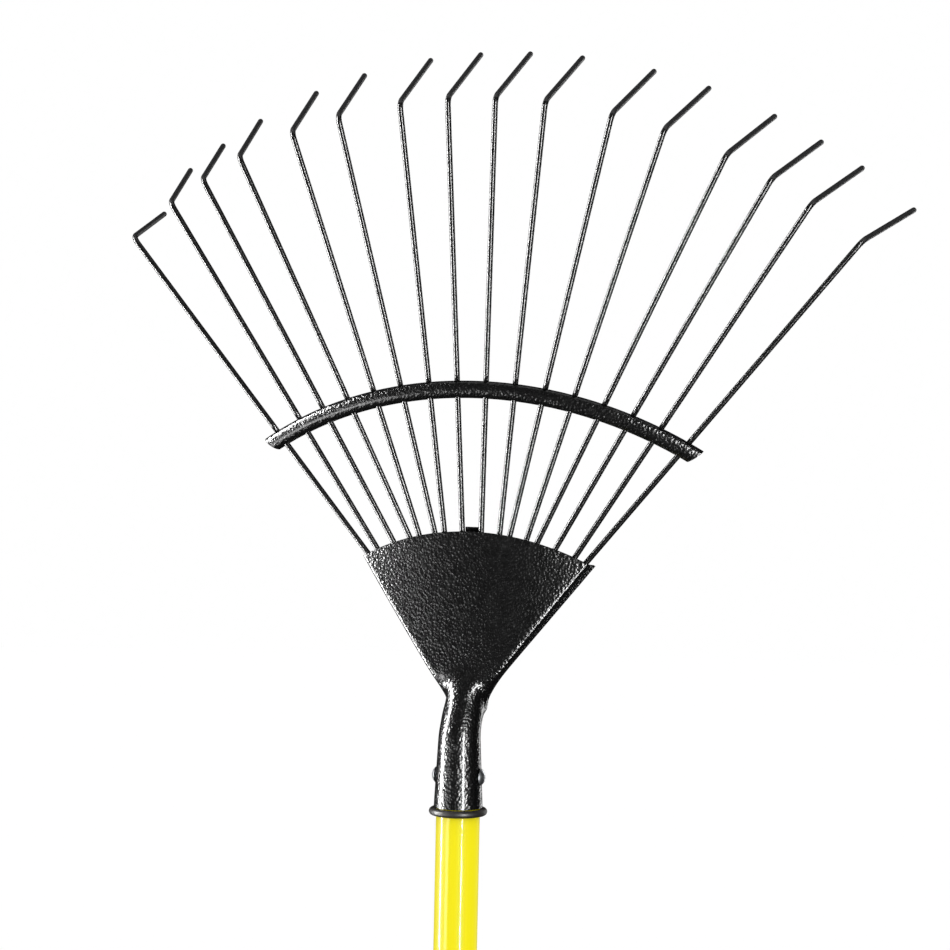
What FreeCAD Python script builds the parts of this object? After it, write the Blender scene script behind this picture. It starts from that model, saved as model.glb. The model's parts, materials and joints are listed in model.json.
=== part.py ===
"""Leaf rake: sixteen spring-wire tines in a pressed steel head, on a fibreglass handle.

The handle stands along +Z with the head at its top. The origin is the centre of the handle's lower end. The
tines fan out to both sides in X, and their bent ends point to +Y. Lengths are in millimetres and angles in
degrees. Heights in the head are counted from the middle of the rubber ring, which places every head piece.
"""
import FreeCAD, Part
import math
import os
import Sketcher
from FreeCAD import Placement, Rotation, Vector

DRIVING_SIZES = [
    ("handle_diameter", 25.4, "outside of the fibreglass tube"),
    ("handle_wall", 3.8, "wall of the fibreglass tube"),
    ("handle_length", 1372, "tube, end to end"),
    ("handle_in_socket", 38, "tube above the middle of the rubber ring"),
    ("shank_tip_diameter", 21.2, "tube's outside at its upper end"),
    ("cap_flange", 3, "thickness of the end cap outside the tube"),
    ("cap_depth", 26, "plug of the end cap inside the tube"),
    ("cap_chamfer", 1, "edge of the end cap"),
    ("core_length", 110, "plug inside the tube behind the rivet"),
    ("ring_section", 4.2, "thickness of the rubber ring"),
    ("rivet_height", 20.5, "rivet above the ring"),
    ("rivet_diameter", 6.4, "rivet shank"),
    ("rivet_head_diameter", 9.6, "domed rivet heads"),
    ("rivet_head_rise", 2.4, "height of a domed head"),
    ("fit_gap", 0.1, "clearance between pieces that are pressed or riveted together"),
    ("sheet_steel", 1.6, "thickness of the head and back plates"),
    ("shank_start", 1.5, "start of the tapered shank below the middle of the rubber ring"),
    ("socket_mouth", 2.5, "lower rim of the socket above the ring"),
    ("socket_mouth_diameter", 28.4, "outside at the rim"),
    ("socket_neck_diameter", 23, "outside where the pan begins"),
    ("socket_neck", 58, "height of the narrowest place"),
    ("wire_diameter", 3.3, "spring wire"),
    ("bend_radius", 7, "wire's centre line where the end turns down"),
    ("bend_angle", 67, "turn of the end out of the straight run"),
    ("bent_length", 71.5, "corner of the bend to the tip"),
    ("first_tine_bend", 73, "the same turn on the first tine, which is bent further"),
    ("first_tine_twist", -3, "turn of the first tine's bent end about its straight run"),
    ("bend_arc_radius", 351.8, "arc that the sixteen bends lie on, seen from the front"),
    ("bend_arc_top", 412.2, "top of that arc above the ring"),
    ("head_arc_radius", 133, "arc of the head's top edge in its own plane"),
    ("head_arc_tilt", 29, "lean of that plane towards +Y"),
    ("head_arc_depth", 14.8, "Y of the wires at the middle of the edge"),
    ("head_arc_top", 161.2, "height of the edge above the ring"),
    ("brace_arc_radius", 237, "centre line of the brace in its own plane"),
    ("brace_arc_tilt", 24, "lean of that plane towards +Y"),
    ("brace_arc_depth", 9.2, "Y of the brace's middle"),
    ("brace_arc_top", 244.4, "height of the brace's middle above the ring"),
    ("brace_hole_pitch", 4.184, "angle along the brace from one wire to the next"),
    ("brace_width", 10.2, "oval tube, along the wires"),
    ("brace_thickness", 6.8, "oval tube, across the wires"),
    ("brace_wall", 1.2, "wall of the oval tube"),
    ("brace_overhang", 1.9, "angle along the brace's middle line past the last wire"),
    ("brace_end_slant", 27, "slant of the end cuts"),
    ("wire_hole_gap", 0.4, "clearance round a wire in the brace"),
    ("hinge_gap", 0.5, "gap between a hairpin's end and the free end that it carries"),
    ("loop_depth", 10, "straight wire inside the head before the hairpin's loop"),
    ("plate_gap", 0.3, "clearance between the wires and the back plate"),
    ("seam_half_angle", 4, "half the open seam down the back of the socket"),
    ("neck_set_back", 7, "how far the neck stands behind the handle's axis"),
    ("set_back_start", 42, "height where the socket starts to lean back"),
    ("set_back_end", 65, "height where it stands the whole way back"),
    ("opening_start", 44, "height where the rolled tube starts to open"),
    ("opening_end", 60, "height where it is a channel"),
    ("channel_depth", 9, "straight sides of that channel"),
    ("pan_start", 56, "height where the channel starts to flatten"),
    ("pan_end", 82, "height where it is the pan"),
    ("side_slope", 0.745, "slant of the pan's sides, outward for each unit of height"),
    ("side_height", 119.5, "a height on that slant"),
    ("side_half_width", 51.5, "half width of the face at that height"),
    ("narrowest_face", 8, "half width of the face where the sides stop closing in"),
    ("narrowest_blend", 4, "softness of that change"),
    ("face_depth_top", 10.85, "Y of the face's front at the middle of the head's edge"),
    ("face_lean", 0.08, "how far the face comes forward for each unit of height below that edge"),
    ("face_dish", 0.00223, "rise of Y with the square of the distance from the middle line"),
    ("fold_radius", 3.4, "fold between the face and a side flange"),
    ("flange_slant", 0.28, "slant of a side flange outward for each unit of its depth"),
    ("flange_depth_low", 4.4, "side flange at the neck, the fold included"),
    ("flange_depth_high", 10, "side flange at the head's edge, the fold included"),
    ("flange_start", 66, "height where the flange starts to deepen"),
    ("flange_end", 128, "height where it has its full depth"),
    ("edge_allowance", 0.5, "face above the arc on which the wires leave the head"),
    ("back_plate_depth", 32, "back plate from its curved top edge down to its curved lower edge"),
    ("back_plate_inset", 1.6, "gap between the back plate and the side flanges"),
    ("back_plate_drop", 0.4, "top edge of the back plate below the same arc"),
    ("tab_width", 9, "tab at the middle of the back plate's top edge"),
    ("tab_rise", 2.9, "tab above that edge"),
]

# Where the eight legs of one side leave the head, in X from the middle line. Legs 1 and 2 are one hairpin,
# legs 3 and 4 the next, and so on.
LEG_OFFSETS = (67.0, 60.7, 49.5, 39.0, 32.8, 22.9, 16.9, 5.8)
TINE_COUNT = 2 * len(LEG_OFFSETS)

doc = FreeCAD.newDocument("leaf_rake")
sheet = doc.addObject("Spreadsheet::Sheet", "sizes")
for row, (alias, number, meaning) in enumerate(DRIVING_SIZES, start=1):
    sheet.set("A%d" % row, meaning)
    sheet.set("B%d" % row, str(number))
    sheet.setAlias("B%d" % row, alias)
doc.recompute()


class Size:
    """A number together with the sheet formula that gives it."""

    def __init__(self, number, formula):
        self.number = float(number)
        self.formula = formula

    def joined(self, other, sign, result):
        """The result of a sum with another value, and the formula that says so."""
        text = other.formula if isinstance(other, Size) else repr(other)
        return Size(result, "(%s %s %s)" % (self.formula, sign, text))

    def __add__(self, other):
        return self.joined(other, "+", self.number + plain(other))

    def __sub__(self, other):
        return self.joined(other, "-", self.number - plain(other))

    def __mul__(self, other):
        return self.joined(other, "*", self.number * plain(other))

    def __truediv__(self, other):
        return self.joined(other, "/", self.number / plain(other))


def plain(value):
    """The number of a Size, or the number itself."""
    return value.number if isinstance(value, Size) else value


def size(alias):
    """A cell of the sheet."""
    return Size(getattr(sheet, alias), "sizes." + alias)


def mm(alias):
    """The number in a cell, for shapes that are worked out in code."""
    return float(getattr(sheet, alias))


def bind(thing, prop, value):
    """Sets a property and ties it to the sheet."""
    setattr(thing, prop, value.number)
    thing.setExpression(prop, value.formula)


SUBPARTS = []


def sub_part(thing, name):
    """Names a finished piece and lists it for export."""
    thing.Label = name
    SUBPARTS.append(thing)
    return thing


# ------------------------------------------------------------------ frame of the head

RING_HEIGHT = mm("cap_flange") + mm("handle_length") - mm("handle_in_socket")
HEAD_PLACE = Placement(Vector(0, 0, RING_HEIGHT), Rotation())


def arc_point(radius, tilt, depth, top, across):
    """A point of a level-topped arc whose plane leans towards +Y, at a distance from the middle line."""
    drop = radius - math.sqrt(radius * radius - across * across)
    lean = math.radians(tilt)
    return Vector(across, depth + drop * math.sin(lean), top - drop * math.cos(lean))


def head_edge_point(across):
    """Where the arc on which the wires leave the head stands, at a distance from the middle line."""
    radius = mm("head_arc_radius")
    return arc_point(radius, mm("head_arc_tilt"), mm("head_arc_depth"), mm("head_arc_top"), across)


def brace_point(step):
    """Centre of the brace at a number of hole pitches from its middle."""
    radius = mm("brace_arc_radius")
    across = radius * math.sin(math.radians(step * mm("brace_hole_pitch")))
    return arc_point(radius, mm("brace_arc_tilt"), mm("brace_arc_depth"), mm("brace_arc_top"), across)


def signed_offset(index):
    """X of tine number index where it leaves the head, counted from -X to +X."""
    if index < len(LEG_OFFSETS):
        return -LEG_OFFSETS[index]
    return LEG_OFFSETS[TINE_COUNT - 1 - index]


class Hairpin:
    """One spring wire: two legs in one plane, joined by a loop inside the head."""

    def __init__(self, number):
        first = 2 * number
        middle_step = (TINE_COUNT - 1) / 2
        leave = [head_edge_point(signed_offset(first + side)) for side in (0, 1)]
        cross = [brace_point(first + side - middle_step) for side in (0, 1)]
        self.base = (leave[0] + leave[1]) * 0.5
        middle = (cross[0] + cross[1]) * 0.5
        self.up = (middle - self.base).normalize()
        across = cross[1] - cross[0]
        self.side = (across - self.up * across.dot(self.up)).normalize()
        self.back = self.up.cross(self.side)
        self.leave = [self.flat(point) for point in leave]
        self.cross = [self.flat(point) for point in cross]
        self.direction = [(self.cross[k] - self.leave[k]).normalize() for k in (0, 1)]

    def flat(self, point):
        """A point in the hairpin's own plane: X across, Y along."""
        step = point - self.base
        return Vector(step.dot(self.side), step.dot(self.up), 0)

    def solid(self, point):
        """Back from the plane to the head's frame."""
        return self.base + self.side * point.x + self.up * point.y

    def world_direction(self, leg):
        """Direction of a leg towards its tip, in the head's frame."""
        return self.side * self.direction[leg].x + self.up * self.direction[leg].y


HAIRPINS = [Hairpin(number) for number in range(TINE_COUNT // 2)]


def hinge_rise():
    """Along a wire, from the brace's centre line to the middle of its upper wall."""
    return (mm("brace_width") - mm("brace_wall")) / 2


def hinge_point(index):
    """Where tine number index bends: in the wall of its hole at the brace's upper edge."""
    pin = HAIRPINS[index // 2]
    leg = index % 2
    return pin.solid(pin.cross[leg] + pin.direction[leg] * hinge_rise())


def straight_length(index):
    """From the hinge to the corner of the bend, where the straight run meets the arc of bends."""
    start = hinge_point(index)
    along = HAIRPINS[index // 2].world_direction(index % 2)
    radius = mm("bend_arc_radius")
    below = start.z - (mm("bend_arc_top") - radius)
    a = along.x ** 2 + along.z ** 2
    b = start.x * along.x + below * along.z
    c = start.x ** 2 + below ** 2 - radius ** 2
    return (math.sqrt(b * b - a * c) - b) / a


# ------------------------------------------------------------------ sketch helpers

def origin_plane(body, role):
    """One of the body's own base planes."""
    return next(item for item in body.Origin.OriginFeatures if item.Role == role)


def new_sketch(body, name, role):
    """An empty sketch on a base plane of the body."""
    sketch = body.newObject("Sketcher::SketchObject", name)
    sketch.AttachmentSupport = [(origin_plane(body, role), "")]
    sketch.MapMode = "FlatFace"
    return sketch


def constrain(sketch, name, value, *arguments):
    """Adds a dimension, and ties it to the sheet if it is a Size."""
    number = sketch.addConstraint(Sketcher.Constraint(*arguments, plain(value)))
    sketch.renameConstraint(number, name)
    if isinstance(value, Size):
        sketch.setExpression("Constraints." + name, value.formula)


def fix_point(sketch, name, geometry, end, across, up):
    """Pins a point of the sketch at a place counted from the sketch's origin."""
    for letter, kind, axis, value in (("x", "DistanceX", -2, across), ("y", "DistanceY", -1, up)):
        if plain(value) == 0:
            sketch.addConstraint(Sketcher.Constraint("PointOnObject", geometry, end, axis))
        else:
            constrain(sketch, name + letter, value, kind, -1, 1, geometry, end)


def outline(sketch, corners):
    """A closed outline of straight lines through corners of (across, up)."""
    points = [Vector(plain(across), plain(up), 0) for across, up in corners]
    for k, point in enumerate(points):
        sketch.addGeometry(Part.LineSegment(point, points[(k + 1) % len(points)]), False)
    for k in range(len(points)):
        following = (k + 1) % len(points)
        sketch.addConstraint(Sketcher.Constraint("Coincident", k, 2, following, 1))
    for k, (across, up) in enumerate(corners):
        fix_point(sketch, "corner%d" % k, k, 1, across, up)


def turned_body(name, corners, place):
    """A body of revolution about its own Z, from a half outline of (radius, height)."""
    body = doc.addObject("PartDesign::Body", name)
    sketch = new_sketch(body, name + "_outline", "XZ_Plane")
    outline(sketch, corners)
    turned = body.newObject("PartDesign::Revolution", name + "_turned")
    turned.Profile = sketch
    turned.ReferenceAxis = (sketch, ["V_Axis"])
    turned.Angle = 360
    sketch.Visibility = False
    body.Placement = place
    doc.recompute()
    return body


def bent_wire(name, place, first, radius, turn, last):
    """A spring wire in a body of its own: straight along local Z, turned towards local X, straight again."""
    body = doc.addObject("PartDesign::Body", name)
    path = new_sketch(body, name + "_path", "XZ_Plane")
    bend = plain(radius)
    start_angle = math.pi - math.radians(plain(turn))
    centre = Vector(bend, first, 0)
    bend_end = centre + Vector(math.cos(start_angle), math.sin(start_angle), 0) * bend
    heading = Vector(math.sin(start_angle), -math.cos(start_angle), 0)
    path.addGeometry(Part.LineSegment(Vector(0, 0, 0), Vector(0, first, 0)), False)
    circle = Part.Circle(centre, Vector(0, 0, 1), bend)
    path.addGeometry(Part.ArcOfCircle(circle, start_angle, math.pi), False)
    path.addGeometry(Part.LineSegment(bend_end, bend_end + heading * last), False)
    path.addConstraint(Sketcher.Constraint("Coincident", 0, 1, -1, 1))
    path.addConstraint(Sketcher.Constraint("PointOnObject", 0, 2, -2))
    path.addConstraint(Sketcher.Constraint("Tangent", 0, 2, 1, 2))
    path.addConstraint(Sketcher.Constraint("Tangent", 1, 1, 2, 1))
    constrain(path, "first_run", first, "Distance", 0)
    constrain(path, "bend_radius", radius, "Radius", 1)
    constrain(path, "last_run", last, "Distance", 2)
    path.addConstraint(Sketcher.Constraint("Angle", 1, math.radians(plain(turn))))
    section = new_sketch(body, name + "_section", "XY_Plane")
    section.addGeometry(Part.Circle(Vector(0, 0, 0), Vector(0, 0, 1), mm("wire_diameter") / 2), False)
    section.addConstraint(Sketcher.Constraint("Coincident", 0, 3, -1, 1))
    constrain(section, "diameter", size("wire_diameter"), "Diameter", 0)
    swept = body.newObject("PartDesign::AdditivePipe", name + "_wire")
    swept.Profile = section
    swept.Spine = path
    body.Placement = HEAD_PLACE.multiply(place)
    return sub_part(body, name)


# ------------------------------------------------------------------ handle

def make_handle_tube():
    """Fibreglass tube whose upper end is ground to a taper for the socket."""
    outside = size("handle_diameter") / 2
    bore = outside - size("handle_wall")
    length = size("handle_length")
    shoulder = length - size("handle_in_socket") - size("shank_start")
    tip = size("shank_tip_diameter") / 2
    corners = [(bore, 0), (outside, 0), (outside, shoulder), (tip, length), (bore, length)]
    tube = turned_body("handle_tube_blank", corners, Placement(Vector(0, 0, mm("cap_flange")), Rotation()))
    return sub_part(cross_drilled(tube, "handle_tube_drilled"), "handle_tube")


def cross_drilled(thing, name):
    """The piece with the rivet's hole through it from side to side."""
    drill = doc.addObject("Part::Cylinder", name + "_drill")
    bind(drill, "Radius", size("rivet_diameter") / 2 + size("fit_gap"))
    bind(drill, "Height", size("socket_mouth_diameter") * 2)
    drill.Placement = Placement(Vector(-mm("socket_mouth_diameter"), 0, RING_HEIGHT + mm("rivet_height")),
                                Rotation(Vector(0, 1, 0), 90))
    cut = doc.addObject("Part::Cut", name)
    cut.Base = thing
    cut.Tool = drill
    return cut


def make_handle_core():
    """Plug inside the tube, where the rivet would crush it."""
    core = doc.addObject("Part::Cylinder", "handle_core_blank")
    bind(core, "Radius", size("handle_diameter") / 2 - size("handle_wall") - size("fit_gap") / 2)
    bind(core, "Height", size("core_length"))
    core.Placement.Base = Vector(0, 0, mm("cap_flange") + mm("handle_length") - mm("core_length"))
    return sub_part(cross_drilled(core, "handle_core_drilled"), "handle_core")


def make_end_cap():
    """Plug with a flange as wide as the tube. Its lower face is flat."""
    flange = size("cap_flange")
    outside = size("handle_diameter") / 2
    plug = outside - size("handle_wall") - size("fit_gap") / 2
    chamfer = size("cap_chamfer")
    top = flange + size("cap_depth")
    corners = [(0, 0), (outside - chamfer, 0), (outside, chamfer), (outside, flange),
               (plug, flange), (plug, top), (0, top)]
    return sub_part(turned_body("end_cap", corners, Placement()), "end_cap")


def make_rubber_ring():
    """Round-section ring on the tube, just below the socket."""
    ring = doc.addObject("Part::Torus", "rubber_ring")
    bind(ring, "Radius2", size("ring_section") / 2)
    bind(ring, "Radius1", size("handle_diameter") / 2 + size("ring_section") / 2 + size("fit_gap") / 2)
    ring.Placement = HEAD_PLACE
    return sub_part(ring, "rubber_ring")


def make_socket_rivet():
    """Solid rivet across the socket, with a domed head at each end."""
    half = size("rivet_head_diameter") / 2
    rise = size("rivet_head_rise")
    ball = (half * half.number + rise * rise.number) / (rise.number * 2)
    reach = socket_radius(mm("rivet_height") - half.number) + mm("fit_gap")
    shank = doc.addObject("Part::Cylinder", "rivet_shank")
    bind(shank, "Radius", size("rivet_diameter") / 2)
    shank.Height = 2 * reach
    shank.Placement.Base = Vector(0, 0, -reach)
    pieces = [shank]
    for name, side in (("rivet_head", 1), ("rivet_tail", -1)):
        dome = doc.addObject("Part::Sphere", name)
        bind(dome, "Radius", ball)
        dome.Angle1 = math.degrees(math.asin(1 - rise.number / ball.number))
        flat = ball.number - rise.number
        facing = Rotation(Vector(1, 0, 0), 90 - 90 * side)
        dome.Placement = Placement(Vector(0, 0, side * (reach - flat)), facing)
        pieces.append(dome)
    rivet = doc.addObject("Part::MultiFuse", "socket_rivet")
    rivet.Shapes = pieces
    rivet.Placement = Placement(Vector(0, 0, RING_HEIGHT + mm("rivet_height")), Rotation(Vector(0, 1, 0), 90))
    return sub_part(rivet, "socket_rivet")


# ------------------------------------------------------------------ head plate

# heights of the sections that the formed sheet is drawn through
SECTION_HEIGHTS = (12, 20, 28, 35, 40, 44, 48, 52, 56, 60, 64, 68, 72, 77, 83, 94, 112, 138, 170)
# places across half a section: evenly over the face, one in the fold, then down the flange
FACE_STEPS = tuple(step / 7 for step in range(8))
FLANGE_STEPS = (0.0, 0.3, 0.65, 1.0)
# the same places as shares of the way from the middle line to the sheet's edge
FACE_SHARE = 0.77
SHEET_MARKS = tuple(FACE_SHARE * step for step in FACE_STEPS) + (0.825, 0.87, 0.91, 0.955, 1.0)
CHANNEL_BLEND = 2.0              # softness of the change from the round front to the flared channel
FOLD_SWELL = 0.3                 # the fold's middle stands this far proud of its arc, for an even spline


def rise_share(height, start, end):
    """0 below the height in one cell, 1 above the height in another, evenly between them."""
    low = mm(start)
    return min(max((height - low) / (mm(end) - low), 0.0), 1.0)


def smooth_step(height, start, end):
    """The same share with soft ends."""
    share = rise_share(height, start, end)
    return share * share * (3 - 2 * share)


def socket_radius(height):
    """Outside radius of the tapered socket."""
    mouth = mm("socket_mouth_diameter") / 2
    neck = mm("socket_neck_diameter") / 2
    return mouth + (neck - mouth) * rise_share(height, "socket_mouth", "socket_neck")


def socket_centre(height):
    """Y of the middle of the socket, which leans back towards the neck."""
    return mm("neck_set_back") * smooth_step(height, "set_back_start", "set_back_end")


def face_half_width(height):
    """Half width of the pan's face, up to the fold of its side flange."""
    line = mm("side_half_width") + mm("side_slope") * (height - mm("side_height"))
    narrowest = mm("narrowest_face")
    return (line + narrowest + math.hypot(line - narrowest, mm("narrowest_blend"))) / 2


def flange_depth(height):
    """Depth of a side flange in Y, the fold included."""
    low = mm("flange_depth_low")
    return low + (mm("flange_depth_high") - low) * rise_share(height, "flange_start", "flange_end")


def face_depth(across, height):
    """Y of the face's front, which leans and is dished from side to side."""
    lean = mm("face_lean") * (mm("head_arc_top") - height)
    return mm("face_depth_top") - lean + mm("face_dish") * across * across


def blend(one, other, share):
    """Two lists of (across, depth) mixed point by point."""
    return [(a[0] + (b[0] - a[0]) * share, a[1] + (b[1] - a[1]) * share) for a, b in zip(one, other)]


def tube_half(height):
    """Half of the socket's round section, from its front to the seam."""
    radius = socket_radius(height)
    centre = socket_centre(height)
    last = math.pi - math.radians(mm("seam_half_angle"))
    return [(radius * math.sin(last * mark), centre - radius * math.cos(last * mark)) for mark in SHEET_MARKS]


def channel_half(height):
    """Half of the neck's section: a half-round front that flares, with straight sides."""
    radius = socket_radius(height)
    centre = socket_centre(height)
    flare = face_half_width(height) + mm("flange_slant") * flange_depth(height) - radius
    flare = (flare + math.hypot(flare, CHANNEL_BLEND)) / 2
    half = []
    for mark in SHEET_MARKS:
        turn = math.pi * min(mark, 0.5)
        side = mm("channel_depth") * max(mark - 0.5, 0.0) * 2
        half.append((radius * math.sin(turn) + flare * mark, centre - radius * math.cos(turn) + side))
    return half


def pan_half(height):
    """Half of the pan's section: face, fold and side flange."""
    width = face_half_width(height)
    fold = mm("fold_radius")
    flat_end = width - fold
    half = [(step * flat_end, face_depth(step * flat_end, height)) for step in FACE_STEPS]
    start = face_depth(flat_end, height)
    turn = fold * math.sqrt(0.5)
    half.append((flat_end + turn, start + fold - turn + FOLD_SWELL))
    straight = flange_depth(height) - fold
    for step in FLANGE_STEPS:
        half.append((width + mm("flange_slant") * straight * step, start + fold + straight * step))
    return half


def sheet_section(height):
    """Points across the bent sheet at one height, on its outside and on its inside."""
    neck = blend(tube_half(height), channel_half(height), smooth_step(height, "opening_start", "opening_end"))
    half = blend(neck, pan_half(height), smooth_step(height, "pan_start", "pan_end"))
    outside = [Vector(-x, y, height) for x, y in reversed(half[1:])] + [Vector(x, y, height) for x, y in half]
    inside = []
    for k, point in enumerate(outside):
        along = outside[min(k + 1, len(outside) - 1)] - outside[max(k - 1, 0)]
        inward = Vector(-along.y, along.x, 0).normalize()
        inside.append(point + inward * mm("sheet_steel"))
    return outside, inside


def spline_through(points, marks):
    """Smooth curve that passes its points at the given parameters."""
    curve = Part.BSplineCurve()
    curve.interpolate(Points=points, Parameters=marks)
    return curve


def full_width_marks():
    """The marks of both halves of a section, from one edge of the sheet to the other."""
    return [-mark for mark in reversed(SHEET_MARKS[1:])] + list(SHEET_MARKS)


def skin_surface(rows):
    """Smooth surface through level rows of points, one row for each section height."""
    across = [spline_through(row, full_width_marks()) for row in rows]
    heights = [row[0].z for row in rows]
    columns = zip(*[curve.getPoles() for curve in across])
    upward = [spline_through(list(column), heights) for column in columns]
    surface = Part.BSplineSurface()
    surface.buildFromPolesMultsKnots([curve.getPoles() for curve in upward],
                                     across[0].getMultiplicities(), upward[0].getMultiplicities(),
                                     across[0].getKnots(), upward[0].getKnots(), False, False, 3, 3)
    return surface


def border_curves(surface):
    """The four edges of a surface, in the same order for every surface."""
    low_u, high_u, low_v, high_v = surface.bounds()
    return [surface.uIso(low_u), surface.uIso(high_u), surface.vIso(low_v), surface.vIso(high_v)]


def closed_sheet(outside_rows, inside_rows):
    """Solid between two skins, closed by narrow faces along the four edges."""
    outer = skin_surface(outside_rows)
    inner = skin_surface(inside_rows)
    faces = [outer.toShape(), inner.toShape()]
    for one, other in zip(border_curves(outer), border_curves(inner)):
        faces.append(Part.makeRuledSurface(one.toShape(), other.toShape(), 1))
    shell = Part.makeShell(faces)
    shell.sewShape()
    solid = Part.makeSolid(shell)
    if solid.Volume < 0:
        solid.reverse()
    return solid


# a trimming block reaches past the sheet: to each side, and to the front and back
TRIM_SIDE = 90.0
TRIM_DEPTH = 60.0


def block_under_edge(rise):
    """Block under the head's curved top edge, moved up by a rise, to trim the formed sheets with."""
    corner = head_edge_point(TRIM_SIDE).z + rise
    left = Vector(-TRIM_SIDE, -TRIM_DEPTH, corner)
    top = Vector(0, -TRIM_DEPTH, head_edge_point(0).z + rise)
    right = Vector(TRIM_SIDE, -TRIM_DEPTH, corner)
    arc = Part.Arc(left, top, right).toShape()
    low_right = Vector(TRIM_SIDE, -TRIM_DEPTH, 0)
    low_left = Vector(-TRIM_SIDE, -TRIM_DEPTH, 0)
    wire = Part.Wire([arc, Part.makeLine(right, low_right), Part.makeLine(low_right, low_left),
                      Part.makeLine(low_left, left)])
    return Part.Face(wire).extrude(Vector(0, 2 * TRIM_DEPTH, 0))


def make_head_plate():
    """Pressed sheet: rolled socket below, shallow pan with turned-back sides above."""
    sections = [sheet_section(height) for height in (mm("socket_mouth"),) + SECTION_HEIGHTS]
    formed = closed_sheet([outside for outside, inside in sections], [inside for outside, inside in sections])
    trimmed = formed.common(block_under_edge(mm("edge_allowance")))
    reach = mm("socket_mouth_diameter")
    drill = Part.makeCylinder(mm("rivet_diameter") / 2 + mm("fit_gap"), 2 * reach,
                              Vector(-reach, 0, mm("rivet_height")), Vector(1, 0, 0))
    plate = doc.addObject("Part::Feature", "head_plate")
    plate.Shape = trimmed.cut(drill)
    plate.Placement = HEAD_PLACE
    return sub_part(plate, "head_plate")


# ------------------------------------------------------------------ back plate and pegs

BACK_PLATE_HEIGHTS = (100, 115, 130, 148, 170)    # sections of the blank, before it is trimmed


def on_wire(index, height):
    """Point of a tine's centre line at a height."""
    pin = HAIRPINS[index // 2]
    start = pin.solid(pin.leave[index % 2])
    along = pin.world_direction(index % 2)
    return start + along * ((height - start.z) / along.z)


def wire_surface(across, height):
    """Y of the curved surface that the wires lie on."""
    knots = [on_wire(index, height) for index in (0, 3, 7)]
    result = 0
    for point in knots:
        share = 1
        for other in knots:
            if other is not point:
                share *= (across ** 2 - other.x ** 2) / (point.x ** 2 - other.x ** 2)
        result += share * point.y
    return result


def make_back_plate():
    """Curved plate that shuts the wires in from behind, with a tab standing up at the middle."""
    front_gap = mm("wire_diameter") / 2 + mm("plate_gap")
    front = []
    back = []
    for height in BACK_PLATE_HEIGHTS:
        width = face_half_width(height) - mm("back_plate_inset")
        places = [mark * width for mark in full_width_marks()]
        row = [Vector(across, wire_surface(across, height) + front_gap, height) for across in places]
        front.append(row)
        back.append([point + Vector(0, mm("sheet_steel"), 0) for point in row])
    blank = closed_sheet(front, back)
    drop = mm("back_plate_drop")
    depth = mm("back_plate_depth")
    tab_width = mm("tab_width")
    tab_corner = Vector(-tab_width / 2, -TRIM_DEPTH, mm("head_arc_top") - depth / 2)
    tab = Part.makeBox(tab_width, 2 * TRIM_DEPTH, depth / 2 + mm("tab_rise"), tab_corner)
    above = block_under_edge(-drop).fuse(tab)
    below = block_under_edge(-drop - depth)
    plate = doc.addObject("Part::Feature", "back_plate")
    plate.Shape = blank.common(above).cut(below)
    plate.Placement = HEAD_PLACE
    return sub_part(plate, "back_plate")


class Loop:
    """The turned end of a hairpin inside the head."""

    def __init__(self, pin):
        first, second = pin.direction
        span = pin.leave[1] - pin.leave[0]
        crossing = first.x * second.y - first.y * second.x
        to_apex = (span.x * second.y - span.y * second.x) / crossing
        apex = pin.leave[0] + first * to_apex
        self.spread = math.degrees(first.getAngle(second))
        to_legs = (pin.leave[0].distanceToPoint(apex) + pin.leave[1].distanceToPoint(apex)) / 2
        reach = to_legs - mm("loop_depth")
        self.radius = reach * math.tan(math.radians(self.spread / 2))
        self.centre = apex + (first + second).normalize() * (reach / math.cos(math.radians(self.spread / 2)))
        self.reach = reach
        self.apex = apex


def frame_place(origin, along, towards):
    """Placement whose Z runs along a direction and whose X points towards another as far as it can."""
    across = (towards - along * towards.dot(along)).normalize()
    return Placement(origin, Rotation(across, along.cross(across), along, "ZXY"))


def make_anchor_pegs():
    """One peg in each hairpin's loop, fixed to the back plate."""
    pegs = []
    behind = mm("wire_diameter") / 2 + mm("plate_gap")
    for number, pin in enumerate(HAIRPINS, start=1):
        loop = Loop(pin)
        peg = doc.addObject("Part::Cylinder", "peg_%d" % number)
        bind(peg, "Height", size("wire_diameter") + size("plate_gap"))
        peg.Radius = loop.radius - mm("wire_diameter") / 2 - mm("fit_gap")
        peg.Placement = frame_place(pin.solid(loop.centre) - pin.back * behind, pin.back, pin.side)
        pegs.append(peg)
    group = doc.addObject("Part::Compound", "anchor_pegs")
    group.Links = pegs
    group.Placement = HEAD_PLACE
    return sub_part(group, "anchor_pegs")


# ------------------------------------------------------------------ spring wires

def make_hairpin(number):
    """The part of one spring wire below the brace: a leg, the loop in the head, and the other leg."""
    pin = HAIRPINS[number]
    loop = Loop(pin)
    ends = [pin.cross[leg] + pin.direction[leg] * (hinge_rise() - mm("brace_wall") / 2 - mm("hinge_gap"))
            for leg in (0, 1)]
    runs = [end.distanceToPoint(loop.apex) - loop.reach for end in ends]
    place = frame_place(pin.solid(ends[0]), pin.world_direction(0) * -1, pin.side)
    return bent_wire("hairpin_%d" % (number + 1), place, runs[0], loop.radius, 180 - loop.spread, runs[1])


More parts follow.
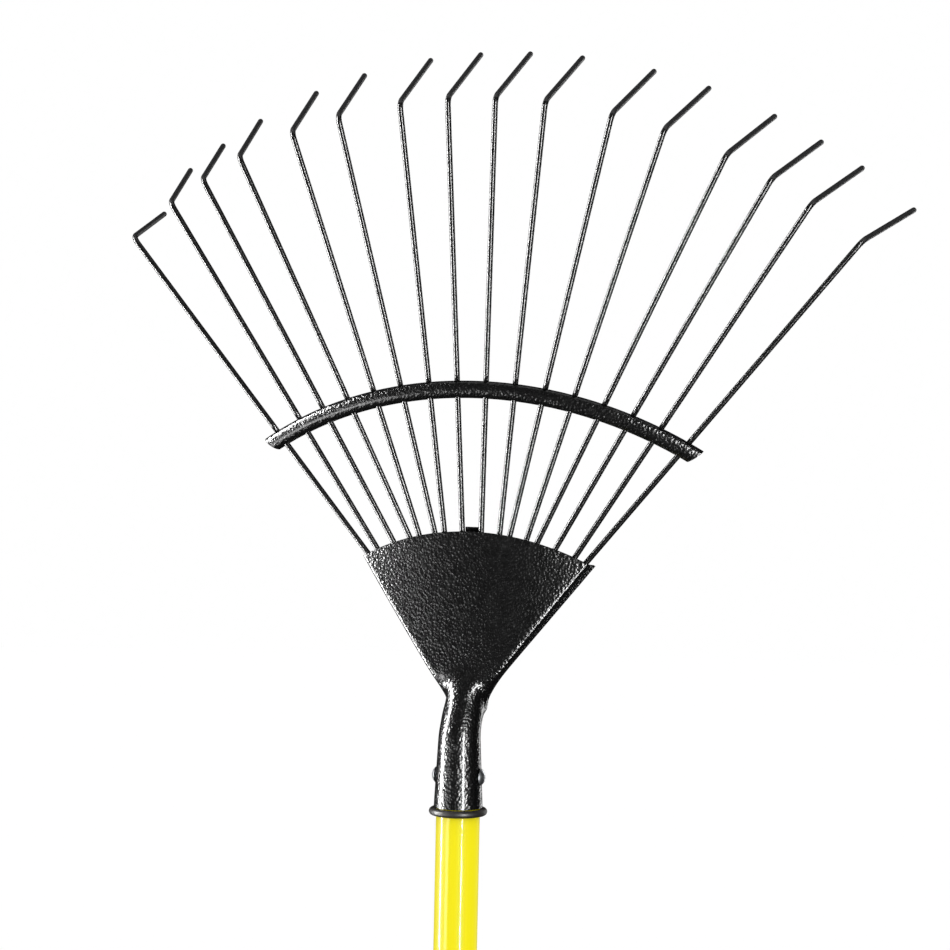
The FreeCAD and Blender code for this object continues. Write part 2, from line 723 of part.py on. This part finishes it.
def make_tine(index):
    """The part of one spring wire above the brace, which flexes in use, with its bent end."""
    along = HAIRPINS[index // 2].world_direction(index % 2)
    below = mm("brace_wall") / 2
    place = frame_place(hinge_point(index) - along * below, along, Vector(0, 1, 0))
    turn = mm("bend_angle")
    if index == 0:
        turn = mm("first_tine_bend")
        place = place.multiply(Placement(Vector(), Rotation(Vector(0, 0, 1), mm("first_tine_twist"))))
    cut_back = mm("bend_radius") * math.tan(math.radians(turn / 2))
    first = straight_length(index) + below - cut_back
    last = mm("bent_length") - cut_back
    return bent_wire("tine_%02d" % (index + 1), place, first, size("bend_radius"), turn, last)


# ------------------------------------------------------------------ brace

END_ALLOWANCE = 1.6              # angle swept past the slanted cut, then cut away


def oval_sweep(name, width, thickness):
    """Solid of the brace's oval section carried round its arc."""
    middle = brace_point(0)
    lean = math.radians(mm("brace_arc_tilt"))
    along_wires = (HAIRPINS[3].world_direction(1) + HAIRPINS[4].world_direction(0)).normalize()
    oval = doc.addObject("Part::Ellipse", name + "_oval")
    bind(oval, "MajorRadius", width / 2)
    bind(oval, "MinorRadius", thickness / 2)
    oval.Placement = frame_place(middle, Vector(1, 0, 0), along_wires)
    sweep = doc.addObject("Part::Revolution", name)
    sweep.Source = oval
    sweep.Base = middle + Vector(0, math.sin(lean), -math.cos(lean)) * mm("brace_arc_radius")
    sweep.Axis = Vector(0, math.cos(lean), math.sin(lean))
    sweep.Angle = 2 * (brace_half_angle() + END_ALLOWANCE)
    sweep.Solid = True
    sweep.Symmetric = True
    return sweep


def brace_half_angle():
    """From the middle of the brace to its end, along its middle line."""
    return (TINE_COUNT - 1) / 2 * mm("brace_hole_pitch") + mm("brace_overhang")


def slant_cutter(side):
    """Block that takes off one end of the brace at a slant, leaving the upper edge longer."""
    turn = math.radians(side * brace_half_angle())
    lean = math.radians(mm("brace_arc_tilt"))
    slant = math.radians(mm("brace_end_slant"))
    outward = Vector(math.sin(turn), -math.cos(turn) * math.sin(lean), math.cos(turn) * math.cos(lean))
    along = Vector(math.cos(turn), math.sin(turn) * math.sin(lean), -math.sin(turn) * math.cos(lean)) * side
    facing = along * math.cos(slant) - outward * math.sin(slant)
    end = brace_point(side * brace_half_angle() / mm("brace_hole_pitch"))
    cutter = doc.addObject("Part::Box", "brace_end_cut_%s" % ("left" if side < 0 else "right"))
    block = 3 * mm("brace_width")
    cutter.Length = cutter.Width = cutter.Height = block
    place = frame_place(end, facing, outward)
    cutter.Placement = place.multiply(Placement(Vector(-block / 2, -block / 2, 0), Rotation()))
    return cutter


def make_brace():
    """Oval tube across the fan, with a hole for each wire and slanted open ends."""
    wall = size("brace_wall")
    width = size("brace_width")
    thickness = size("brace_thickness")
    tube = doc.addObject("Part::Cut", "brace_tube")
    tube.Base = oval_sweep("brace_outside", width, thickness)
    tube.Tool = oval_sweep("brace_inside", width - wall * 2, thickness - wall * 2)
    cutters = [slant_cutter(-1), slant_cutter(1)]
    for index in range(TINE_COUNT):
        pin = HAIRPINS[index // 2]
        along = pin.world_direction(index % 2)
        hole = doc.addObject("Part::Cylinder", "wire_hole_%02d" % (index + 1))
        bind(hole, "Radius", size("wire_diameter") / 2 + size("wire_hole_gap"))
        bind(hole, "Height", width * 2)
        start = pin.solid(pin.cross[index % 2]) - along * width.number
        hole.Placement = frame_place(start, along, Vector(0, 1, 0))
        cutters.append(hole)
    openings = doc.addObject("Part::Compound", "brace_openings")
    openings.Links = cutters
    brace = doc.addObject("Part::Cut", "brace_cut")
    brace.Base = tube
    brace.Tool = openings
    brace.Placement = HEAD_PLACE
    return sub_part(brace, "brace")


# ------------------------------------------------------------------ the whole rake

make_handle_tube()
make_handle_core()
make_end_cap()
make_rubber_ring()
make_socket_rivet()
make_head_plate()
make_back_plate()
make_anchor_pegs()
for number in range(len(HAIRPINS)):
    make_hairpin(number)
for index in range(TINE_COUNT):
    make_tine(index)
make_brace()
doc.recompute()

for thing in doc.Objects:
    if "Invalid" in thing.State or "Error" in thing.State:
        raise RuntimeError("%s did not compute: %s" % (thing.Name, thing.State))
for thing in SUBPARTS:
    if thing.Shape.isNull() or not thing.Shape.isValid():
        raise RuntimeError("%s has no valid shape" % thing.Label)
os.makedirs("parts", exist_ok=True)
for thing in SUBPARTS:
    thing.Shape.exportStep("parts/%s.step" % thing.Label)
    print(thing.Label, round(thing.Shape.Volume, 1), len(thing.Shape.Solids))
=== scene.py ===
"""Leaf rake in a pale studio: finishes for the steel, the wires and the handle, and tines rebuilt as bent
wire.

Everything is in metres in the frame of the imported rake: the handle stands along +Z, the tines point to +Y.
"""
import json
import math

import bmesh
import bpy
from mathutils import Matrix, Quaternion, Vector


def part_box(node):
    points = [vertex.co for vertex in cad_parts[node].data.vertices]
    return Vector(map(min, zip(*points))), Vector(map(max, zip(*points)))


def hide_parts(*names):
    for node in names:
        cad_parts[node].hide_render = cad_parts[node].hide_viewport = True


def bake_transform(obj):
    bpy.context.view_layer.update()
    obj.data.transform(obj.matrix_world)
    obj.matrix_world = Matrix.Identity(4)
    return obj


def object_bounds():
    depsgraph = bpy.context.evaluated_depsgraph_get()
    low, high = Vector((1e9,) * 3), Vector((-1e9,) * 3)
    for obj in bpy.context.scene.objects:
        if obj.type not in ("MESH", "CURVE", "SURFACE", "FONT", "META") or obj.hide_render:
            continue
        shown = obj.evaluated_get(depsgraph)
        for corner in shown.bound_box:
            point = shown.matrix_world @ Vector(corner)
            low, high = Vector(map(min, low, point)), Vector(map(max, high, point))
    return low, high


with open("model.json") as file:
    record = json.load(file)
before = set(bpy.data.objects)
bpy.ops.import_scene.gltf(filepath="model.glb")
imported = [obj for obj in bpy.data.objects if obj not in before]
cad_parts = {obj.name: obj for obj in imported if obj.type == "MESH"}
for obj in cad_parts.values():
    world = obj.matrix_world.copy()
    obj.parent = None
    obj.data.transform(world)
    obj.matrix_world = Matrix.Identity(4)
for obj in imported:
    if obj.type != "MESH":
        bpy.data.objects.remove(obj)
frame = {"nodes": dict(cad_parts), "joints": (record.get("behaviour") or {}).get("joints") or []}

CAD_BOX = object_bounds()
MM = 0.001

# the colour sockets of the Mix node, which shares their names with its number sockets
MIX_FROM = 6
MIX_TO = 7
MIX_RESULT = 2

WIRE_DIAMETER = 3.3 * MM
BEND_RADIUS = 7 * MM
RING_SIDES = 20
TIP_RINGS = 5
BEND_STEPS = 14
RUN_STEP = 6 * MM              # spacing of the rings along a straight run
RING_SLACK = 0.05 * MM         # points this close to the nearest belong to the same ring of the solid
TIP_SHARE = 0.93               # points past this share of the bent end count as its tip
CORNER_ROUNDS = 12             # rounds of the search for the corner, which settles after about six


# ------------------------------------------------------------------ materials

def linear(code):
    """An sRGB hex colour as linear red, green, blue and full alpha."""
    parts = [int(code[k:k + 2], 16) / 255 for k in (1, 3, 5)]
    return [part / 12.92 if part <= 0.04045 else ((part + 0.055) / 1.055) ** 2.4 for part in parts] + [1.0]


def add(tree, kind, inputs, **settings):
    """Adds a node. An input is a plain value, or the output of another node to link."""
    node = tree.nodes.new(kind)
    for name, value in settings.items():
        setattr(node, name, value)
    for name, value in inputs.items():
        if isinstance(value, bpy.types.NodeSocket):
            tree.links.new(value, node.inputs[name])
        else:
            node.inputs[name].default_value = value
    return node


def start_material(name):
    """An empty material, its tree and the rake's own coordinates in metres."""
    material = bpy.data.materials.new(name)
    material.use_nodes = True
    tree = material.node_tree
    tree.nodes.clear()
    place = add(tree, "ShaderNodeTexCoord", {}).outputs["Object"]
    return material, tree, place


def finish_material(tree, inputs):
    """The shader with its sockets set or linked, and the material's output."""
    shader = add(tree, "ShaderNodeBsdfPrincipled", inputs)
    add(tree, "ShaderNodeOutputMaterial", {"Surface": shader.outputs["BSDF"]})


def per_metre(size_mm):
    """Texture scale that gives features of a size in millimetres."""
    return 1 / (size_mm * MM)


def hammered_powder_coat():
    """Black powder coat baked to a hammered skin: tight glossy pebbles with matt valleys between them."""
    material, tree, place = start_material("hammered_black_powder_coat")
    pebbles = add(tree, "ShaderNodeTexVoronoi",
                  {"Vector": place, "Scale": per_metre(1.5), "Smoothness": 0.5},
                  feature="SMOOTH_F1").outputs["Distance"]
    fine = add(tree, "ShaderNodeTexNoise",
               {"Vector": place, "Scale": per_metre(5), "Detail": 2.0}).outputs["Fac"]
    patches = add(tree, "ShaderNodeTexNoise",
                  {"Vector": place, "Scale": per_metre(18), "Detail": 3.0}).outputs["Fac"]
    bump = add(tree, "ShaderNodeBump",
               {"Strength": 1.0, "Distance": 0.33 * MM, "Height": pebbles}).outputs["Normal"]
    colour = add(tree, "ShaderNodeMix",
                 {"Factor": patches, MIX_FROM: linear("#040404"), MIX_TO: linear("#080808")},
                 data_type="RGBA").outputs[MIX_RESULT]
    dullness = add(tree, "ShaderNodeMapRange",
                   {"Value": fine, "To Min": 0.2, "To Max": 0.32}).outputs["Result"]
    finish_material(tree, {"Base Color": colour, "Roughness": dullness, "IOR": 1.5,
                           "Coat Weight": 0.5, "Coat Roughness": 0.15, "Normal": bump})
    return material


def coated_spring_wire():
    """The same black coat on thin wire, where it draws into small beads that catch the light."""
    material, tree, place = start_material("black_coated_spring_wire")
    beads = add(tree, "ShaderNodeTexNoise",
                {"Vector": place, "Scale": per_metre(1.4), "Detail": 2.0}).outputs["Fac"]
    patches = add(tree, "ShaderNodeTexNoise",
                  {"Vector": place, "Scale": per_metre(9), "Detail": 2.0}).outputs["Fac"]
    bump = add(tree, "ShaderNodeBump",
               {"Strength": 0.7, "Distance": 0.18 * MM, "Height": beads}).outputs["Normal"]
    colour = add(tree, "ShaderNodeMix",
                 {"Factor": patches, MIX_FROM: linear("#050505"), MIX_TO: linear("#0b0b0b")},
                 data_type="RGBA").outputs[MIX_RESULT]
    dullness = add(tree, "ShaderNodeMapRange",
                   {"Value": beads, "To Min": 0.16, "To Max": 0.4}).outputs["Result"]
    finish_material(tree, {"Base Color": colour, "Roughness": dullness, "IOR": 1.5,
                           "Coat Weight": 0.4, "Coat Roughness": 0.1, "Normal": bump})
    return material


def painted_sheen_wire_end():
    """Bent end of a tine in a smooth satin finish, painted a lighter grey than the wire as a painted sheen,
    because the ends face the light differently.
    """
    material, tree, place = start_material("satin_wire_end_painted_sheen")
    sheen_mottle = add(tree, "ShaderNodeTexNoise",
              {"Vector": place, "Scale": per_metre(5), "Detail": 4.0}).outputs["Fac"]
    grain = add(tree, "ShaderNodeTexNoise",
                {"Vector": place, "Scale": per_metre(0.6), "Detail": 1.0}).outputs["Fac"]
    bump = add(tree, "ShaderNodeBump",
               {"Strength": 0.35, "Distance": 0.06 * MM, "Height": grain}).outputs["Normal"]
    # the lighter grey is painted sheen: it shades the bent ends as if they catch more light than the rest of
    # the wire
    colour = add(tree, "ShaderNodeMix",
                 {"Factor": sheen_mottle, MIX_FROM: linear("#1b1b1c"), MIX_TO: linear("#2a2a2b")},
                 data_type="RGBA").outputs[MIX_RESULT]
    dullness = add(tree, "ShaderNodeMapRange",
                   {"Value": sheen_mottle, "To Min": 0.38, "To Max": 0.52}).outputs["Result"]
    finish_material(tree, {"Base Color": colour, "Roughness": dullness, "IOR": 1.5, "Normal": bump})
    return material


def yellow_fibreglass():
    """Pultruded glass-fibre tube in glossy yellow resin: faint lengthwise streaks under a clear skin."""
    material, tree, place = start_material("yellow_pultruded_fibreglass")
    squeezed = add(tree, "ShaderNodeMapping",
                   {"Vector": place, "Scale": (1.0, 1.0, 0.012)}).outputs["Vector"]
    streaks = add(tree, "ShaderNodeTexNoise", {"Vector": squeezed, "Scale": per_metre(1.1), "Detail": 3.0})
    streaks = streaks.outputs["Fac"]
    cloud = add(tree, "ShaderNodeTexNoise",
                {"Vector": place, "Scale": per_metre(60), "Detail": 2.0}).outputs["Fac"]
    bump = add(tree, "ShaderNodeBump",
               {"Strength": 0.07, "Distance": 0.03 * MM, "Height": streaks}).outputs["Normal"]
    colour = add(tree, "ShaderNodeMix",
                 {"Factor": streaks, MIX_FROM: linear("#f6e700"), MIX_TO: linear("#fdf000")},
                 data_type="RGBA").outputs[MIX_RESULT]
    dullness = add(tree, "ShaderNodeMapRange",
                   {"Value": cloud, "To Min": 0.42, "To Max": 0.5}).outputs["Result"]
    finish_material(tree, {"Base Color": colour, "Roughness": dullness, "IOR": 1.5,
                           "Specular IOR Level": 0.1, "Coat Weight": 0.35,
                           "Coat Roughness": 0.03, "Normal": bump})
    return material


def moulded_rubber():
    """Dark warm grey moulded rubber with a dull bloom."""
    material, tree, place = start_material("dark_moulded_rubber")
    bloom = add(tree, "ShaderNodeTexNoise",
                {"Vector": place, "Scale": per_metre(4), "Detail": 4.0}).outputs["Fac"]
    grain = add(tree, "ShaderNodeTexNoise",
                {"Vector": place, "Scale": per_metre(0.5), "Detail": 1.0}).outputs["Fac"]
    bump = add(tree, "ShaderNodeBump",
               {"Strength": 0.4, "Distance": 0.05 * MM, "Height": grain}).outputs["Normal"]
    colour = add(tree, "ShaderNodeMix",
                 {"Factor": bloom, MIX_FROM: linear("#1b1815"), MIX_TO: linear("#272320")},
                 data_type="RGBA").outputs[MIX_RESULT]
    dullness = add(tree, "ShaderNodeMapRange",
                   {"Value": bloom, "To Min": 0.35, "To Max": 0.55}).outputs["Result"]
    finish_material(tree, {"Base Color": colour, "Roughness": dullness, "IOR": 1.52, "Normal": bump})
    return material


def zinc_plated_steel():
    """Bright zinc plate on a pressed rivet head: pale metal with fine cloudy crystals."""
    material, tree, place = start_material("zinc_plated_rivet_steel")
    clouds = add(tree, "ShaderNodeTexNoise",
                 {"Vector": place, "Scale": per_metre(1.5), "Detail": 4.0}).outputs["Fac"]
    scratches = add(tree, "ShaderNodeTexNoise", {"Vector": place, "Scale": per_metre(0.35)}).outputs["Fac"]
    bump = add(tree, "ShaderNodeBump", {"Strength": 0.2, "Distance": 0.03 * MM, "Height": scratches})
    colour = add(tree, "ShaderNodeMix",
                 {"Factor": clouds, MIX_FROM: linear("#b9bdc1"), MIX_TO: linear("#dfe2e4")},
                 data_type="RGBA").outputs[MIX_RESULT]
    dullness = add(tree, "ShaderNodeMapRange",
                   {"Value": clouds, "To Min": 0.22, "To Max": 0.38}).outputs["Result"]
    finish_material(tree, {"Base Color": colour, "Metallic": 1.0, "Roughness": dullness,
                           "Normal": bump.outputs["Normal"]})
    return material


def moulded_cap_plastic():
    """Black polyethylene plug, moulded with a fine spark-eroded grain."""
    material, tree, place = start_material("black_moulded_polyethylene")
    grain = add(tree, "ShaderNodeTexNoise",
                {"Vector": place, "Scale": per_metre(0.5), "Detail": 2.0}).outputs["Fac"]
    scuff = add(tree, "ShaderNodeTexNoise",
                {"Vector": place, "Scale": per_metre(6), "Detail": 4.0}).outputs["Fac"]
    bump = add(tree, "ShaderNodeBump",
               {"Strength": 0.5, "Distance": 0.06 * MM, "Height": grain}).outputs["Normal"]
    colour = add(tree, "ShaderNodeMix",
                 {"Factor": scuff, MIX_FROM: linear("#141415"), MIX_TO: linear("#222223")},
                 data_type="RGBA").outputs[MIX_RESULT]
    dullness = add(tree, "ShaderNodeMapRange",
                   {"Value": scuff, "To Min": 0.45, "To Max": 0.65}).outputs["Result"]
    finish_material(tree, {"Base Color": colour, "Roughness": dullness, "IOR": 1.51, "Normal": bump})
    return material


def turned_wood():
    """Plain turned softwood plug, with grain that runs along the handle."""
    material, tree, place = start_material("turned_softwood_plug")
    squeezed = add(tree, "ShaderNodeMapping",
                   {"Vector": place, "Scale": (1.0, 1.0, 0.06)}).outputs["Vector"]
    grain = add(tree, "ShaderNodeTexNoise", {"Vector": squeezed, "Scale": per_metre(1.6), "Detail": 5.0})
    grain = grain.outputs["Fac"]
    bump = add(tree, "ShaderNodeBump",
               {"Strength": 0.3, "Distance": 0.08 * MM, "Height": grain}).outputs["Normal"]
    colour = add(tree, "ShaderNodeMix",
                 {"Factor": grain, MIX_FROM: linear("#a9794a"), MIX_TO: linear("#d3a870")},
                 data_type="RGBA").outputs[MIX_RESULT]
    dullness = add(tree, "ShaderNodeMapRange",
                   {"Value": grain, "To Min": 0.55, "To Max": 0.75}).outputs["Result"]
    finish_material(tree, {"Base Color": colour, "Roughness": dullness, "IOR": 1.5, "Normal": bump})
    return material


def glowing_paper(name, code, glow):
    """White paper for the room, faintly mottled, that gives off an even glow."""
    material, tree, place = start_material(name)
    fibres = add(tree, "ShaderNodeTexNoise",
                 {"Vector": place, "Scale": per_metre(30), "Detail": 3.0}).outputs["Fac"]
    shine = add(tree, "ShaderNodeMapRange",
                {"Value": fibres, "To Min": 0.99 * glow, "To Max": 1.01 * glow}).outputs["Result"]
    finish_material(tree, {"Base Color": linear(code), "Roughness": 0.9, "Specular IOR Level": 0.0,
                           "Emission Color": linear("#ffffff"), "Emission Strength": shine})
    return material


coat = hammered_powder_coat()
wire_coat = coated_spring_wire()
wire_end_sheen = painted_sheen_wire_end()
NODE_MATERIALS = {
    "head_plate": coat,
    "back_plate": coat,
    "brace": coat,
    "anchor_pegs": coat,
    "handle_tube": yellow_fibreglass(),
    "handle_core": turned_wood(),
    "end_cap": moulded_cap_plastic(),
    "rubber_ring": moulded_rubber(),
    "socket_rivet": zinc_plated_steel(),
}
for name, node in frame["nodes"].items():
    node.data.materials.clear()
    node.data.materials.append(NODE_MATERIALS.get(name, wire_coat))


# ------------------------------------------------------------------ tines

NEAR_HINGE = 5 * BEND_RADIUS   # points closer to the hinge belong to the wire's cut end

class CentreLine:
    """Corner, tip and directions of a tine, read from its solid and its joint."""

    def __init__(self, name):
        joint = next(item for item in frame["joints"] if item["child"] == name)
        self.hinge = Vector(joint["pos_m"])
        points = [vertex.co.copy() for vertex in frame["nodes"][name].data.vertices]
        far_points = [point for point in points if (point - self.hinge).length > NEAR_HINGE]
        run = min((point - self.hinge).length for point in far_points)
        ring = [point for point in far_points if (point - self.hinge).length < run + RING_SLACK]
        run_end = sum(ring, Vector()) / len(ring)
        self.along = (run_end - self.hinge).normalized()
        farthest = max(points, key=lambda point: (point - self.hinge).length)
        rough = (farthest - run_end).normalized()
        near_tip = (farthest - run_end).length * TIP_SHARE
        tip_points = [point for point in points if (point - run_end).dot(rough) > near_tip]
        tip = sum(tip_points, Vector()) / len(tip_points)
        behind = min((point - self.hinge).dot(self.along) for point in points)
        self.start = self.hinge + self.along * behind
        # the end leaves from the corner, which lies past the straight run by the bend's tangent length
        turn = self.along.angle((tip - run_end).normalized())
        for _ in range(CORNER_ROUNDS):
            cut_back = BEND_RADIUS * math.tan(turn / 2)
            self.corner = run_end + self.along * cut_back
            turn = self.along.angle(tip - self.corner)
        self.heading = (tip - self.corner).normalized()
        self.turn = turn
        self.cut_back = cut_back
        reach = max((point - self.corner).dot(self.heading) for point in points)
        self.tip = self.corner + self.heading * reach


def stepped(first, last, step):
    """Evenly spaced points from first up to, but not including, last."""
    count = max(1, round((last - first).length / step))
    return [first.lerp(last, k / count) for k in range(count)]


def wire_path(line):
    """Points of the centre line, the wire's radius at each, and how many points come before the bend."""
    bend_start = line.corner - line.along * line.cut_back
    bend_end = line.corner + line.heading * line.cut_back
    path = stepped(line.start, bend_start, RUN_STEP)
    straight_count = len(path)
    axis = line.along.cross(line.heading).normalized()
    to_centre = axis.cross(line.along).normalized()
    centre = bend_start + to_centre * BEND_RADIUS
    for step in range(BEND_STEPS):
        turned = Quaternion(axis, line.turn * step / BEND_STEPS)
        path.append(centre + turned @ (bend_start - centre))
    round_start = line.tip - line.heading * (WIRE_DIAMETER / 2)
    path += stepped(bend_end, round_start, RUN_STEP)
    radii = [WIRE_DIAMETER / 2] * len(path)
    for step in range(TIP_RINGS):
        angle = math.pi / 2 * step / TIP_RINGS
        path.append(round_start + line.heading * (math.sin(angle) * WIRE_DIAMETER / 2))
        radii.append(math.cos(angle) * WIRE_DIAMETER / 2)
    return path, radii, straight_count


def make_tine(name):
    """One spring tine as a drawn wire with a bent, rounded end, bending smoothly above the brace."""
    line = CentreLine(name)
    path, radii, straight_count = wire_path(line)
    mesh = bmesh.new()
    side = line.along.cross(line.heading).normalized()
    rings = []
    for k, point in enumerate(path):
        ahead = (path[min(k + 1, len(path) - 1)] - path[max(k - 1, 0)]).normalized()
        if k == 0:
            ahead = line.along
        up = side.cross(ahead).normalized()
        ring = []
        for step in range(RING_SIDES):
            angle = 2 * math.pi * step / RING_SIDES
            ring.append(mesh.verts.new(point + (side * math.cos(angle) + up * math.sin(angle)) * radii[k]))
        rings.append(ring)
    for k in range(len(rings) - 1):
        for step in range(RING_SIDES):
            after = (step + 1) % RING_SIDES
            corners = (rings[k][step], rings[k][after], rings[k + 1][after], rings[k + 1][step])
            face = mesh.faces.new(corners)
            face.smooth = True
            # from the middle of the bend on, the wire takes the lighter grey of the painted sheen
            face.material_index = 1 if k >= straight_count + BEND_STEPS // 2 else 0
    mesh.faces.new(list(reversed(rings[0])))
    pole = mesh.verts.new(line.tip)
    for step in range(RING_SIDES):
        face = mesh.faces.new((rings[-1][step], rings[-1][(step + 1) % RING_SIDES], pole))
        face.smooth = True
        face.material_index = 1
    bmesh.ops.recalc_face_normals(mesh, faces=mesh.faces)
    data = bpy.data.meshes.new(name + "_wire")
    mesh.to_mesh(data)
    mesh.free()
    data.materials.append(wire_coat)
    data.materials.append(wire_end_sheen)
    piece = bpy.data.objects.new(name + "_wire", data)
    bpy.context.scene.collection.objects.link(piece)
    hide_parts(name)
    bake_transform(piece)


for name in sorted(frame["nodes"]):
    if name.startswith("tine_"):
        make_tine(name)


# ------------------------------------------------------------------ studio

ROOM_RADIUS = 14.0
FLOOR_RADIUS = 13.9
ROOM_SEGMENTS = 64
HEAD_MIDDLE = 0.2              # from the rubber ring up to the middle of the head


def add_stage(name, mesh, material):
    """Makes a stage object that lights the rake softly but isn't mirrored in its gloss."""
    for face in mesh.faces:
        face.smooth = True
    data = bpy.data.meshes.new(name)
    mesh.to_mesh(data)
    mesh.free()
    data.materials.append(material)
    stage = bpy.data.objects.new(name, data)
    stage.visible_glossy = False
    bpy.context.scene.collection.objects.link(stage)


def make_room():
    """White room round the rake: a wide domed wall and a plain pale floor."""
    low, high = CAD_BOX
    dome = bmesh.new()
    bmesh.ops.create_uvsphere(dome, u_segments=ROOM_SEGMENTS, v_segments=ROOM_SEGMENTS // 2,
                              radius=ROOM_RADIUS)
    bmesh.ops.translate(dome, verts=dome.verts, vec=(0, 0, (low.z + high.z) / 2))
    add_stage("white_dome", dome, glowing_paper("white_dome_paint", "#000000", 1.0))
    floor = bmesh.new()
    bmesh.ops.create_circle(floor, cap_ends=True, segments=ROOM_SEGMENTS, radius=FLOOR_RADIUS)
    bmesh.ops.translate(floor, verts=floor.verts, vec=(0, 0, low.z))
    add_stage("pale_floor", floor, glowing_paper("pale_floor_paper", "#bcbcbc", 0.5))


def add_softbox(name, place, width, height, watts, gloss_only):
    """Soft light aimed at the head. A gloss light only shows as a highlight, the others both light and show
    in the gloss.
    """
    light = bpy.data.lights.new(name, "AREA")
    light.shape = "RECTANGLE"
    light.size = width
    light.size_y = height
    light.energy = watts
    holder = bpy.data.objects.new(name, light)
    holder.location = place
    holder.rotation_euler = (Vector(LOOK_AT) - Vector(place)).to_track_quat("-Z", "Y").to_euler()
    holder.visible_camera = False
    holder.visible_diffuse = not gloss_only
    bpy.context.scene.collection.objects.link(holder)


make_room()
ring_low, ring_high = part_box("rubber_ring")
RING_CENTRE = (Vector(ring_low) + Vector(ring_high)) / 2
HEAD_HEIGHT = RING_CENTRE.z + HEAD_MIDDLE
LOOK_AT = (0, 0, HEAD_HEIGHT)
# the two tall strips draw the bright bands down the socket, and the lines down the handle
add_softbox("left_strip", (-1.94, -0.49, HEAD_HEIGHT), 0.26, 2.6, 190, gloss_only=True)
add_softbox("right_strip", (1.72, -1.95, HEAD_HEIGHT), 0.22, 2.6, 150, gloss_only=True)
add_softbox("low_left_sheen", (-1.3, -1.7, 0.7), 0.6, 0.6, 12, gloss_only=True)
add_softbox("overhead", (0, -0.2, HEAD_HEIGHT + 1.6), 1.6, 0.8, 3, gloss_only=False)
add_softbox("back_strip", (0.9, 2.4, HEAD_HEIGHT), 0.3, 2.2, 12, gloss_only=True)

world = bpy.data.worlds.new("studio_air")
world.use_nodes = True
background = world.node_tree.nodes["Background"]
background.inputs["Color"].default_value = linear("#8a8c90")
background.inputs["Strength"].default_value = 0.06
bpy.context.scene.world = world
bpy.context.scene.view_settings.view_transform = "Standard"

# ------------------------------------------------------------------ camera

camera = bpy.data.cameras.new("view")
camera.lens = 103.95
camera.sensor_width = 36
camera_object = bpy.data.objects.new("view", camera)
camera_object.location = RING_CENTRE + Vector((0.49931, -1.5015, 0.25561))
camera_object.rotation_euler = [math.radians(angle) for angle in (87.81, -1.182, 18.228)]
bpy.context.scene.collection.objects.link(camera_object)
bpy.context.scene.camera = camera_object
